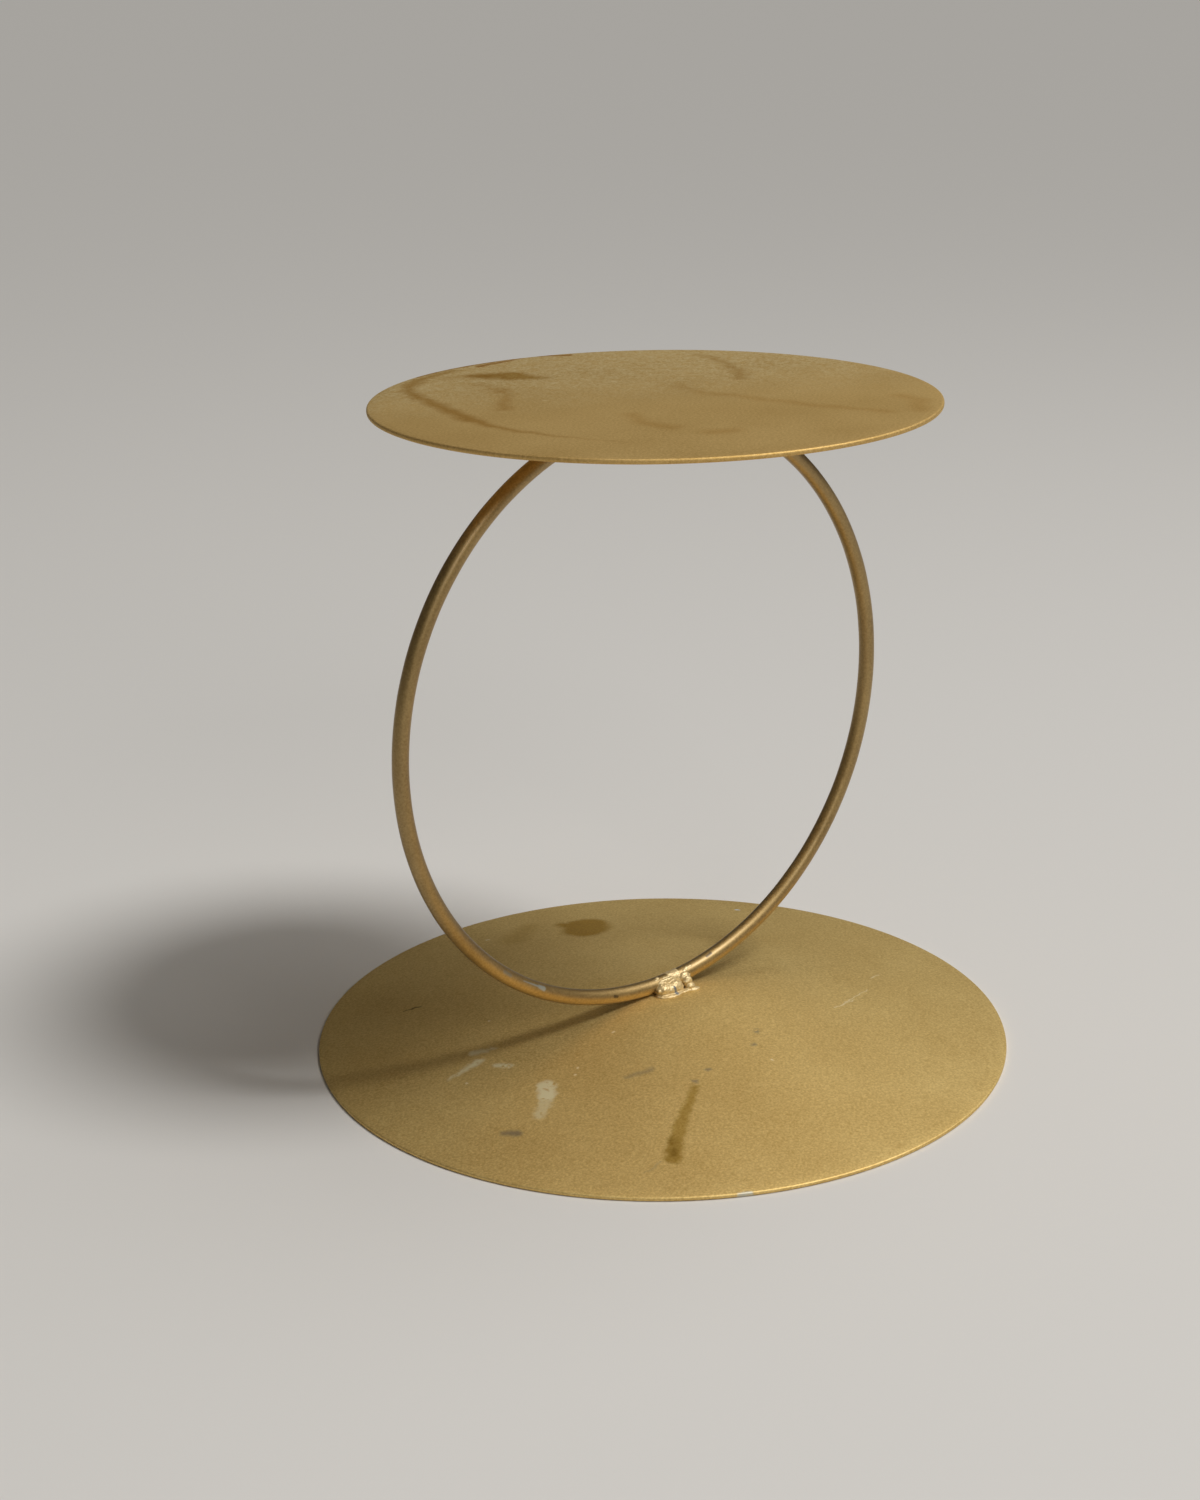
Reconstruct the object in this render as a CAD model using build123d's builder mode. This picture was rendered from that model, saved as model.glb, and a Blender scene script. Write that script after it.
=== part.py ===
"""Ring cake stand: a round plate carried on an upright rod ring over a shallow conical base.

The frame has +Z up and its origin under the middle of the base, on the surface it stands on.
The ring stands in the XZ plane, a little left of the plates' common axis, and its front is the side towards -Y.
"""
import os
from math import acos, asin, atan2, cos, degrees, hypot, radians, sin, sqrt, tan

from build123d import *

# Base: a sheet disc pressed to a shallow cone with a round crown
base_diameter = 220.0
base_sheet = 1.5
base_rise = 13.5
crown_radius = 150.0
foot_land = 2.0
base_edge_round = 0.5

# Ring: one length of round rod, bent until its two ends meet
ring_diameter = 185.0
ring_shift = -3.0
rod_diameter = 5.0
seam_gap = 1.6
seam_crown = 0.25

# Top: a flat sheet disc
top_diameter = 170.0
top_sheet = 1.5
top_edge_round = 0.4

# An edge's rounding takes no more than this share of the edge's height
round_share = 0.4

# Weld metal: each lump has a run along the rod and a throat, the radius around its own axis
weld_place = 4.2
weld_root = 1.0
weld_lift = 0.4
large_weld_side = -4.2
large_weld_run = 1.0
large_weld_throat = 3.9
small_weld_side = 4.6
small_weld_run = 0.6
small_weld_throat = 2.8
rear_weld_run = 5.0
rear_weld_throat = 3.0
top_weld_run = 6.0
top_weld_throat = 3.0

# The flank of the base leaves the crown's arc as a tangent and ends at the rim
base_radius = base_diameter / 2
flank_reach = hypot(base_radius, crown_radius - base_rise)
flank_angle = degrees(atan2(base_radius, crown_radius - base_rise) - acos(crown_radius / flank_reach))
rim_height = base_sheet / cos(radians(flank_angle)) - foot_land * tan(radians(flank_angle))
crown_top = rim_height + base_rise
crown_center = crown_top - crown_radius

# The ring rests on the crown, and the top plate rests on the ring
rod_radius = rod_diameter / 2
ring_radius = ring_diameter / 2
ring_center = crown_center + sqrt((crown_radius + rod_radius + ring_radius) ** 2 - ring_shift**2)
top_underside = ring_center + ring_radius + rod_radius

# The seam sits in the foot weld, a little to the right of the ring's lowest point
seam_turn = asin((weld_place - ring_shift) / ring_radius)
seam_angle = degrees(seam_gap / ring_radius)
ring_axis = Axis((ring_shift, 0, ring_center), (0, -1, 0))

# The axes of the weld lumps lie just clear of the sheets
foot_weld_axis = crown_top + weld_lift
top_weld_axis = top_underside - weld_lift


def rod_section(turn):
    """The plane across the rod at a turn, in degrees, from the foot towards +X."""
    outward = Vector(sin(radians(turn)), 0, -cos(radians(turn)))
    along = Vector(cos(radians(turn)), 0, sin(radians(turn)))
    middle = Vector(ring_shift, 0, ring_center) + outward * ring_radius
    return Plane(origin=middle, x_dir=outward, z_dir=along)


def weld_lump(along_rod, front, seat, run, throat):
    """A rounded lump of weld metal beside the rod, round an axis at the level of seat.

    front is -1 for the -Y side of the rod and 1 for the other side.
    """
    middle = Vector(along_rod, front * rod_radius, seat)
    root_face = Plane(origin=(along_rod, front * weld_root, seat), x_dir=(1, 0, 0), z_dir=(0, -front, 0))
    with BuildPart() as lump:
        with BuildSketch(Plane(origin=middle, x_dir=(1, 0, 0), z_dir=(0, 0, 1))):
            SlotCenterToCenter(run, 2 * throat)
            split(bisect_by=Plane.XZ)
        revolve(axis=Axis(middle, (1, 0, 0)))
        with BuildSketch(root_face):
            Rectangle(2 * (run + 2 * throat), 4 * throat)
        extrude(amount=2 * throat, mode=Mode.SUBTRACT)
    return lump.part


with BuildPart() as base_plate:
    with BuildSketch(Plane.XZ) as base_section:
        with BuildLine():
            upper_crown = CenterArc((0, crown_center), crown_radius, 90, -flank_angle)
            upper_flank = Line(upper_crown @ 1, (base_radius, rim_height))
            rim_edge = Line(upper_flank @ 1, (base_radius, 0))
            land = Line(rim_edge @ 1, (base_radius - foot_land, 0))
            lower_crown = CenterArc((0, crown_center), crown_radius - base_sheet, 90, -flank_angle)
            lower_flank = Line(land @ 1, lower_crown @ 1)
            middle_line = Line(lower_crown @ 0, upper_crown @ 0)
        make_face()
        rim_corners = base_section.vertices().group_by(Axis.X)[-1]
        fillet(rim_corners, radius=min(base_edge_round, round_share * rim_height))
    revolve(axis=Axis.Z)
base_plate.part.label = "base_plate"

with BuildPart() as support_ring:
    with BuildSketch(rod_section(degrees(seam_turn) + seam_angle / 2)):
        Circle(rod_radius)
    revolve(axis=ring_axis, revolution_arc=360 - seam_angle)
support_ring.part.label = "support_ring"

with BuildPart() as ring_seam_weld:
    with BuildSketch(rod_section(degrees(seam_turn) - seam_angle / 2)):
        Circle(rod_radius + seam_crown)
    revolve(axis=ring_axis, revolution_arc=seam_angle)
    add(base_plate.part, mode=Mode.SUBTRACT)
ring_seam_weld.part.label = "ring_seam_weld"

with BuildPart() as top_plate:
    with BuildSketch(Plane.XY.offset(top_underside)):
        Circle(top_diameter / 2)
    extrude(amount=top_sheet)
    fillet(top_plate.edges().filter_by(GeomType.CIRCLE), radius=min(top_edge_round, round_share * top_sheet))
top_plate.part.label = "top_plate"

# Room taken by the base up to its upper face, and by the top plate down to its lower face
with BuildPart() as base_room:
    with BuildSketch(Plane.XZ):
        with BuildLine():
            room_crown = CenterArc((0, crown_center), crown_radius, 90, -flank_angle)
            room_flank = Line(room_crown @ 1, (base_radius, rim_height))
            room_side = Line(room_flank @ 1, (base_radius, -base_rise))
            room_floor = Line(room_side @ 1, (0, -base_rise))
            room_middle = Line(room_floor @ 1, room_crown @ 0)
        make_face()
    revolve(axis=Axis.Z)

with BuildPart() as top_room:
    with BuildSketch(Plane.XY.offset(top_underside)):
        Circle(top_diameter / 2)
    extrude(amount=top_diameter / 2)

# Foot welds: cut to the rod, the seam and the upper face of the base
foot_neighbours = [support_ring.part, ring_seam_weld.part, base_room.part]

with BuildPart() as foot_weld_large:
    add(weld_lump(weld_place + large_weld_side, -1, foot_weld_axis, large_weld_run, large_weld_throat))
    add(foot_neighbours, mode=Mode.SUBTRACT)
foot_weld_large.part.label = "foot_weld_large"

with BuildPart() as foot_weld_small:
    add(weld_lump(weld_place + small_weld_side, -1, foot_weld_axis, small_weld_run, small_weld_throat))
    add(foot_neighbours, mode=Mode.SUBTRACT)
foot_weld_small.part.label = "foot_weld_small"

with BuildPart() as foot_weld_rear:
    add(weld_lump(weld_place, 1, foot_weld_axis, rear_weld_run, rear_weld_throat))
    add(foot_neighbours, mode=Mode.SUBTRACT)
foot_weld_rear.part.label = "foot_weld_rear"

# Top welds: one on each side of the rod, cut to the rod and the lower face of the top plate
top_neighbours = [support_ring.part, top_room.part]

with BuildPart() as top_weld_front:
    add(weld_lump(ring_shift, -1, top_weld_axis, top_weld_run, top_weld_throat))
    add(top_neighbours, mode=Mode.SUBTRACT)
top_weld_front.part.label = "top_weld_front"

with BuildPart() as top_weld_rear:
    add(weld_lump(ring_shift, 1, top_weld_axis, top_weld_run, top_weld_throat))
    add(top_neighbours, mode=Mode.SUBTRACT)
top_weld_rear.part.label = "top_weld_rear"

pieces = [
    base_plate,
    support_ring,
    ring_seam_weld,
    foot_weld_large,
    foot_weld_small,
    foot_weld_rear,
    top_plate,
    top_weld_front,
    top_weld_rear,
]
os.makedirs("parts", exist_ok=True)
for piece in pieces:
    export_step(piece.part, f"parts/{piece.part.label}.step")

print(f"flank {flank_angle:.2f} degrees, rim {rim_height:.2f} mm, crown top {crown_top:.2f} mm")
print(f"ring centre at {ring_center:.2f} mm, height over all {top_underside + top_sheet:.2f} mm")
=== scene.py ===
# %% [markdown]
# # A ring cake stand in gold lacquer
# The stand is three pieces of steel welded together: a base pressed to a shallow cone, a ring bent from
# round rod and a flat top plate. A rough weld shows at the foot of the ring, and gold lacquer covers
# everything. The measured model is loaded first and never changed. Each of its pieces is then modelled
# again with the softness, lumps and wear that the real one has.

# %% Load the measured model
import random
from math import acos, asin, atan2, cos, degrees, hypot, pi, radians, sin

import bpy
from mathutils import Matrix, Vector


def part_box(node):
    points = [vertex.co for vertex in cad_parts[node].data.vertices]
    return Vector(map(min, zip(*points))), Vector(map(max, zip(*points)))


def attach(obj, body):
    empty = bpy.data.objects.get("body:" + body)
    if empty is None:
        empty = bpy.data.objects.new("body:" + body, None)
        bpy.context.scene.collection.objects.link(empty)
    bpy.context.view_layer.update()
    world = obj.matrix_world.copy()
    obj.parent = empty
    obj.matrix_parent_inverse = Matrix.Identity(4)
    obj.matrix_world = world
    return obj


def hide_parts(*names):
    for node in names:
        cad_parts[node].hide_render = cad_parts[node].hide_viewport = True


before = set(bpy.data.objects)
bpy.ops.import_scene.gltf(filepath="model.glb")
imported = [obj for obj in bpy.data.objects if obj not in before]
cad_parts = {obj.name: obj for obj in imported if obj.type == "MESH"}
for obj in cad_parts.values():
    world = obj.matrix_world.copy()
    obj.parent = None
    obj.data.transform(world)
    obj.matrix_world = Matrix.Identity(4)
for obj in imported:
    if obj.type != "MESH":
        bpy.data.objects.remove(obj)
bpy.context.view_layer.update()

mm = 0.001
print("loaded", len(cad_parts), "measured nodes")

# %% [markdown]
# ## Read the sizes
# Everything below is placed from the measured boxes. The numbers could be typed in again, but then a new
# measurement would leave the looks behind. The ring stands a few millimetres left of the plates' axis,
# and its box shows by how much.

# %% Sizes of the plates, the ring and the rod
base_low, base_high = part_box("base_plate")
top_low, top_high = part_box("top_plate")
ring_low, ring_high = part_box("support_ring")
base_radius = (base_high[0] - base_low[0]) / 2
crown_top = base_high[2]
top_radius = (top_high[0] - top_low[0]) / 2
top_under = top_low[2]
top_face = top_high[2]
sheet = top_face - top_under
rod_radius = (ring_high[1] - ring_low[1]) / 2
ring_radius = (ring_high[0] - ring_low[0]) / 2 - rod_radius
ring_middle = Vector(((ring_low[0] + ring_high[0]) / 2, 0, top_under - ring_radius - rod_radius))
print(f"base {2 * base_radius / mm:.1f} mm, top {2 * top_radius / mm:.1f} mm across")
print(f"ring {2 * ring_radius / mm:.1f} mm across, {ring_middle.x / mm:.1f} mm from the plates' axis")

# %% [markdown]
# ## Camera
# The photograph was taken from the left of the ring's front, a little above the top plate. The camera
# stands on a sphere around the foot of the stand. It could be aimed at a point, but its heading, pitch
# and roll were found by matching both plates' rims and the ring, so they are kept as plain angles.

# %% A direction away from the stand
def around_stand(azimuth, elevation):
    """A direction away from the stand, by its turn from the front and its height in degrees."""
    turn = radians(azimuth)
    rise = radians(elevation)
    return Vector((cos(rise) * sin(turn), -cos(rise) * cos(turn), sin(rise)))


print("straight in front of the stand is", tuple(around_stand(0, 0)))

# %% Place the camera
camera_distance = 791.9 * mm
camera_azimuth = -39.56
camera_elevation = 25.44
camera_heading = -38.11
camera_pitch = 18.90
camera_roll = -1.11
rim_level = 1.24 * mm
focal_pixels = 2436.0
image_height = 1500
sensor_size = 36.0

camera_way = around_stand(camera_azimuth, camera_elevation)
camera_place = Vector((0, 0, rim_level)) + camera_distance * camera_way
camera_turn = (
    Matrix.Rotation(radians(camera_heading), 4, "Z")
    @ Matrix.Rotation(radians(90 - camera_pitch), 4, "X")
    @ Matrix.Rotation(radians(camera_roll), 4, "Z")
)
bpy.ops.object.select_all(action="DESELECT")
bpy.ops.object.camera_add(location=camera_place, rotation=camera_turn.to_euler())
camera = bpy.context.object
camera.data.sensor_width = sensor_size
camera.data.lens = focal_pixels / image_height * sensor_size
bpy.context.scene.camera = camera
print(f"camera {camera_place.length:.3f} m away with a {camera.data.lens:.1f} mm lens")

# %% [markdown]
# ## Colours and nodes
# Colours are written as sRGB hex values, as a colour picker shows them, and one function turns them into
# the linear values that the shaders need. Nodes could be wired by hand in the editor, but a script can be
# read and changed, so a second small function adds a node, sets it and links it.

# %% A colour as the shaders need it
def linear(hex_color):
    """An sRGB hex colour as linear red, green, blue and alpha, by the sRGB standard's own curve."""
    channels = [int(hex_color[i:i + 2], 16) / 255 for i in (1, 3, 5)]
    return tuple(c / 12.92 if c <= 0.04045 else ((c + 0.055) / 1.055) ** 2.4 for c in channels) + (1.0,)


print("a middle gold is", [round(c, 3) for c in linear("#A88A52")])

# %% Nodes and materials
def put(tree, kind, inputs=None, **settings):
    """Add a node, set its properties, and give each named input a value or a link."""
    node = tree.nodes.new(kind)
    for name, value in settings.items():
        setattr(node, name, value)
    for socket, value in (inputs or {}).items():
        if isinstance(value, bpy.types.NodeSocket):
            tree.links.new(value, node.inputs[socket])
        else:
            node.inputs[socket].default_value = value
    return node


def new_material(name):
    """An empty material and its node tree."""
    material = bpy.data.materials.new(name)
    material.use_nodes = True
    material.node_tree.nodes.clear()
    return material, material.node_tree


print("the measured model brings", len(bpy.data.materials), "plain materials")

# %% [markdown]
# ## Floor
# A plain pale floor carries the stand and its shadow. A curved backdrop would do too, but one very large
# plane has no bend to catch the light, and the camera sees nothing else.

# %% Lay the floor
floor_size = 80.0
paper_color = "#D6D3CE"
paper_roughness = 0.9

bpy.ops.object.select_all(action="DESELECT")
bpy.ops.mesh.primitive_plane_add(size=floor_size)
floor = bpy.context.object
floor.name = "studio_floor"

# Matt paper spreads light evenly, so it shows soft shadows and no gloss
paper, tree = new_material("matt_studio_paper")
matt = {"Base Color": linear(paper_color), "Roughness": paper_roughness}
shader = put(tree, "ShaderNodeBsdfPrincipled", matt)
put(tree, "ShaderNodeOutputMaterial", {"Surface": shader.outputs["BSDF"]})
floor.data.materials.append(paper)
print("floor", floor_size, "m wide in", paper.name)

# %% [markdown]
# ## Light
# Three plain lamps light the stand, as in a small studio. A picture of a room could light it too, but
# each lamp can be set on its own. The key light is far away on the camera's right, as wide as a soft box,
# and throws the ring's shadow to the left over the base.

# %% The key light
key_azimuth = camera_azimuth + 75
key_elevation = 57
key_distance = 1.0
key_width = 17
key_strength = 1.95


def lamp(name, kind, azimuth, elevation, distance, power):
    """Add a lamp at a place around the stand, and turn it back to the stand."""
    way = around_stand(azimuth, elevation)
    turn = way.to_track_quat("Z", "Y").to_euler()
    bpy.ops.object.select_all(action="DESELECT")
    bpy.ops.object.light_add(type=kind, location=distance * way, rotation=turn)
    light = bpy.context.object
    light.name = name
    light.data.energy = power
    print(f"{name} at {azimuth:.1f} degrees round and {elevation:.1f} up")
    return light


# A sun shines alike from any distance, and its width softens the shadows
key_light = lamp("key_light", "SUN", key_azimuth, key_elevation, key_distance, key_strength)
key_light.data.angle = radians(key_width)

# %% [markdown]
# A large soft box hangs over the right side, and the cone of the base mirrors it, so the base brightens
# towards the front and sinks into shade at the back. A smaller box in front, right of the camera, puts the
# pale line on the ring's left arm. Suns could do this too, but the light of a box close by changes along
# a piece, as in a studio.

# %% The two soft boxes
box_distance = 1.4
overhead_azimuth = 71.5
overhead_elevation = 67.5
overhead_size = 0.9
overhead_power = 4.2
front_azimuth = camera_azimuth + 27
front_elevation = 34
front_size = 0.45
front_power = 3.4

overhead_box = lamp(
    "overhead_soft_box", "AREA", overhead_azimuth, overhead_elevation, box_distance, overhead_power
)
overhead_box.data.size = overhead_size
front_box = lamp("front_soft_box", "AREA", front_azimuth, front_elevation, box_distance, front_power)
front_box.data.size = front_size

# %% [markdown]
# The world could light the stand alone, but it has no direction, so it only fills the shade a little. The
# Standard view then shows a colour about as it is written.

# %% The dim world and the view
world_color = "#F5ECDC"
world_strength = 0.08

world = bpy.data.worlds.new("dim_studio")
bpy.context.scene.world = world
world.use_nodes = True
world.node_tree.nodes.clear()
fill = {"Color": linear(world_color), "Strength": world_strength}
sky = put(world.node_tree, "ShaderNodeBackground", fill)
put(world.node_tree, "ShaderNodeOutputWorld", {"Surface": sky.outputs["Background"]})
bpy.context.scene.view_settings.view_transform = "Standard"
print("world fills with a strength of", world_strength)

# %% [markdown]
# ## Turning sheet metal
# Both plates are round, so each is turned from its half section: one vertex is drawn out along the
# section, and the line is spun once about the upright axis. A cylinder with bevels could make the flat
# one too, but a section shows the crown, the slope and the rounded edge just as the press and the file
# left them.

# %% Lines of a half section
def arc(center, radius, start, end, steps):
    """Points of an arc in a half section, at angles in degrees from straight outwards."""
    turns = [radians(start + (end - start) * i / steps) for i in range(steps + 1)]
    return [(center[0] + radius * cos(t), center[1] + radius * sin(t)) for t in turns]


def straight(start, end, steps):
    """Evenly spaced points between two points of a half section, without the two ends."""
    shares = [i / steps for i in range(1, steps)]
    return [tuple(a + (b - a) * s for a, b in zip(start, end)) for s in shares]


print("four steps give", len(arc((0, 0), 1, 90, 0, 4)), "points on an arc")

# %% Turn a half section
merge_distance = 0.005 * mm


def only(piece):
    """Select one piece alone and make it the active one."""
    bpy.ops.object.select_all(action="DESELECT")
    piece.select_set(True)
    bpy.context.view_layer.objects.active = piece


def turned_piece(name, section, turns):
    """Draw a half section out of one vertex and spin it about the upright axis."""
    bpy.ops.object.select_all(action="DESELECT")
    bpy.ops.mesh.primitive_plane_add(size=sheet)
    piece = bpy.context.object
    piece.name = name
    bpy.ops.object.mode_set(mode="EDIT")
    bpy.ops.mesh.merge(type="CENTER")
    points = [Vector((r, 0, z)) for r, z in section]
    bpy.ops.transform.translate(value=points[0])
    for here, there in zip(points, points[1:]):
        bpy.ops.mesh.extrude_vertices_move(TRANSFORM_OT_translate={"value": there - here})
    bpy.ops.mesh.select_all(action="SELECT")
    bpy.ops.mesh.spin(steps=turns, angle=2 * pi, center=(0, 0, 0), axis=(0, 0, 1))
    bpy.ops.mesh.select_all(action="SELECT")
    bpy.ops.mesh.remove_doubles(threshold=merge_distance)
    bpy.ops.mesh.normals_make_consistent(inside=False)
    bpy.ops.object.mode_set(mode="OBJECT")
    return piece


print(f"points nearer than {merge_distance / mm:.3f} mm are merged")

# %% [markdown]
# Hand work leaves every surface a little uneven. Bump in a material could hint at it, but a displace
# modifier with a soft noise puts it in the mesh, where outlines and reflections show it too, and it is
# applied at once. Then a piece is shaded smooth and fixed to the stand in place of the measured node.

# %% Finish a piece
def uneven(piece, clouds, height, direction="NORMAL", level=0.5):
    """Move a piece's surface by soft noise, with clouds of a size and a height, and keep the result."""
    texture = bpy.data.textures.new(piece.name + "_noise", "CLOUDS")
    texture.noise_scale = clouds
    texture.noise_depth = 1
    modifier = piece.modifiers.new("uneven", "DISPLACE")
    modifier.texture = texture
    modifier.texture_coords = "LOCAL"
    modifier.direction = direction
    modifier.mid_level = level
    modifier.strength = height
    only(piece)
    bpy.ops.object.modifier_apply(modifier=modifier.name)


def seat(piece, node, crease):
    """Shade a piece smooth up to a crease angle, and fix it to the stand in place of a measured node."""
    only(piece)
    bpy.ops.object.shade_smooth_by_angle(angle=radians(crease))
    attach(piece, "root")
    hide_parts(node)
    print(piece.name, len(piece.data.polygons), "faces")


# %% [markdown]
# ## Base
# The base is a sheet disc pressed to a shallow cone. Its crown is rounded, because a press tool is, and
# its cut edge is dressed round. A cone primitive would have a sharp tip, so the section is drawn as the
# tool shapes it. The sheet is never quite true, so a slow noise lifts it by a hair, which breaks up the
# reflections as a real pressed sheet does.

# %% Slope of the cone
crown_radius = 150 * mm
base_rise = 13.5 * mm
rim_height = crown_top - base_rise
crown_middle = (0, crown_top - crown_radius)
flank_reach = hypot(base_radius, crown_radius - base_rise)
flank_slope = degrees(atan2(base_radius, crown_radius - base_rise) - acos(crown_radius / flank_reach))
print(f"flank {flank_slope:.2f} degrees, rim {rim_height / mm:.2f} mm high")

# %% Half section of the base
foot_land = 2.0 * mm
edge_round = 0.5 * mm
edge_steps = 5
edge_middle = base_radius - edge_round
land_inside = (base_radius - foot_land, 0)
flank_end = 90 - flank_slope

upper_crown = arc(crown_middle, crown_radius, 90, flank_end, steps=10)
rim_corner = arc((edge_middle, rim_height - edge_round), edge_round, flank_end, 0, edge_steps)
floor_corner = arc((edge_middle, edge_round), edge_round, 0, -90, edge_steps)
lower_crown = arc(crown_middle, crown_radius - sheet, flank_end, 90, steps=8)
base_section = (
    upper_crown
    + straight(upper_crown[-1], rim_corner[0], steps=26)
    + rim_corner
    + floor_corner
    + [land_inside]
    + straight(land_inside, lower_crown[0], steps=12)
    + lower_crown
)
print("base section drawn through", len(base_section), "points")

# %% Turn the base
sheet_crease = 40
base = turned_piece("pressed_base", base_section, turns=224)
uneven(base, clouds=55 * mm, height=0.22 * mm, direction="Z", level=0)
seat(base, "base_plate", sheet_crease)

# %% [markdown]
# ## Top plate
# The top plate is a plain flat disc, cut from the same sheet and filed round at the edge. A cylinder with
# a bevel would do, but it is turned as the base is, so that both carry the same kind of faces.

# %% Turn the top plate
top_round = 0.6 * mm
round_middle = top_radius - top_round
face_middle = (0, top_face)
under_middle = (0, top_under)
upper_edge = arc((round_middle, top_face - top_round), top_round, 90, 0, edge_steps)
lower_edge = arc((round_middle, top_under + top_round), top_round, 0, -90, edge_steps)
top_section = (
    [face_middle]
    + straight(face_middle, upper_edge[0], steps=24)
    + upper_edge
    + lower_edge
    + straight(lower_edge[-1], under_middle, steps=10)
    + [under_middle]
)
top = turned_piece("flat_top_plate", top_section, turns=208)
uneven(top, clouds=70 * mm, height=0.2 * mm, direction="Z")
seat(top, "top_plate", sheet_crease)

# %% [markdown]
# ## Ring
# The ring is one length of round rod, bent until its ends meet at the foot. A torus would be quicker, but
# it has no ends. So the ring is modelled the way it is made: the rod's cut end is a filled circle, and a
# spin bends it around the ring's axis until it comes back to the seam. Both cut ends are then chamfered,
# as they are before welding, and the coat gets its slight waves.

# %% Bend the rod
weld_place = 4.2 * mm
seam_gap = 1.6 * mm
seam_angle = seam_gap / ring_radius
first_turn = asin((weld_place - ring_middle.x) / ring_radius) + seam_angle / 2
rod_sides = 40
bend_steps = 420

bpy.ops.object.select_all(action="DESELECT")
bpy.ops.mesh.primitive_circle_add(
    vertices=rod_sides,
    radius=rod_radius,
    fill_type="NGON",
    location=ring_middle + ring_radius * Vector((sin(first_turn), 0, -cos(first_turn))),
    rotation=(0, pi / 2 - first_turn, 0),
)
ring = bpy.context.object
ring.name = "bent_rod_ring"
bpy.ops.object.transform_apply(location=True, rotation=True, scale=True)
bpy.ops.object.mode_set(mode="EDIT")
bpy.ops.mesh.select_all(action="SELECT")
bpy.ops.mesh.spin(
    steps=bend_steps,
    angle=2 * pi - seam_angle,
    center=ring_middle,
    axis=(0, -1, 0),
    use_auto_merge=False,
)
bpy.ops.mesh.select_all(action="SELECT")
bpy.ops.mesh.normals_make_consistent(inside=False)
bpy.ops.object.mode_set(mode="OBJECT")
ring_foot = min(v.co.z for v in ring.data.vertices)
print(f"rod bent in {bend_steps} steps, lowest point {ring_foot / mm:.2f} mm")

# %% Chamfer the cut ends and give the rod its uneven coat
end_chamfer = 0.35 * mm
only(ring)
for polygon in ring.data.polygons:
    polygon.select = len(polygon.vertices) == rod_sides
bpy.ops.object.mode_set(mode="EDIT")
bpy.ops.mesh.select_mode(type="FACE")
bpy.ops.mesh.region_to_loop()
bpy.ops.mesh.bevel(offset=end_chamfer, segments=2, affect="EDGES")
bpy.ops.mesh.select_mode(type="VERT")
bpy.ops.object.mode_set(mode="OBJECT")
uneven(ring, clouds=9 * mm, height=0.07 * mm)
seat(ring, "support_ring", crease=50)

# %% [markdown]
# ## Welds
# A tack weld is a puddle that froze: a few overlapping lumps, a thin skirt where it wetted the sheet, and
# a rough crust where the arc bit into the rod. Lumps are placed as stretched balls, melted into one skin
# with a voxel remesh, smoothed, and roughened a little with noise. Sculpting would do it too, but lumps
# with sizes in millimetres are easy to move.

# %% Melt lumps into one skin
ball_cuts = 4


def melted(name, lumps, voxel, roughness):
    """One skin around stretched balls, each given by its middle and its three radii."""
    balls = []
    bpy.ops.object.select_all(action="DESELECT")
    for middle, radii in lumps:
        bpy.ops.mesh.primitive_ico_sphere_add(
            subdivisions=ball_cuts, radius=1, location=middle, scale=radii
        )
        balls.append(bpy.context.object)
    for ball in balls:
        ball.select_set(True)
    bpy.context.view_layer.objects.active = balls[0]
    bpy.ops.object.join()
    bpy.ops.object.transform_apply(location=True, rotation=True, scale=True)
    piece = bpy.context.object
    piece.name = name
    skin = piece.modifiers.new("skin", "REMESH")
    skin.mode = "VOXEL"
    skin.voxel_size = voxel
    calm = piece.modifiers.new("calm", "SMOOTH")
    calm.factor = 0.5
    calm.iterations = 8
    only(piece)
    bpy.ops.object.modifier_apply(modifier=skin.name)
    bpy.ops.object.modifier_apply(modifier=calm.name)
    uneven(piece, clouds=0.9 * mm, height=roughness)
    return piece


print("each lump starts as a ball of", 20 * 4 ** (ball_cuts - 1), "faces")

# %% Place a lump on the base
def on_crown(x, y, lift, *radii):
    """A lump of weld on the base's crown, by its place and radii in millimetres."""
    drop = crown_radius - (crown_radius**2 - (x * mm) ** 2 - (y * mm) ** 2) ** 0.5
    return Vector((x * mm, y * mm, crown_top - drop + lift * mm)), [r * mm for r in radii]


print(f"8 mm right of its middle the crown is {on_crown(8, 0, 0)[0].z / mm:.2f} mm high")

# %% [markdown]
# The skin of a puddle freezes in crumbs. Noise alone gives waves and not crumbs, so they are small beads,
# scattered over the front of a lump and sunk most of the way in. The draw is seeded, so it falls the same
# way each time.

# %% Crumbs on a lump
crumb_seed = 11
crumb_sunk = 0.7
crumb_levels = (-0.3, 0.95)
crumb_stretch = (0.9, 1.5)
crumb_height = (0.8, 1.2)
dice = random.Random(crumb_seed)


def crumbs(lump, count, smallest, largest):
    """Beads on the front half of a lump, with sizes in millimetres."""
    middle, radii = lump
    beads = []
    for bead in range(count):
        size = dice.uniform(smallest, largest) * mm
        across = dice.uniform(0, pi)
        up = asin(dice.uniform(*crumb_levels))
        way = Vector((cos(up) * cos(across), -cos(up) * sin(across), sin(up)))
        skin = middle + Vector([(r - crumb_sunk * size) * w for r, w in zip(radii, way)])
        length = size * dice.uniform(*crumb_stretch)
        beads.append((skin, [length, size, size * dice.uniform(*crumb_height)]))
    return beads


print("crumbs fall by the seed", crumb_seed)

# %% [markdown]
# The left lump of the foot weld is the larger: a cushion that grew from two puddles, with a skirt on the
# base and a fillet under the rod. One ball would look like a pea, so six lumps share the work.

# %% The large foot weld
fine_voxel = 0.16 * mm
all_smooth = 180

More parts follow.
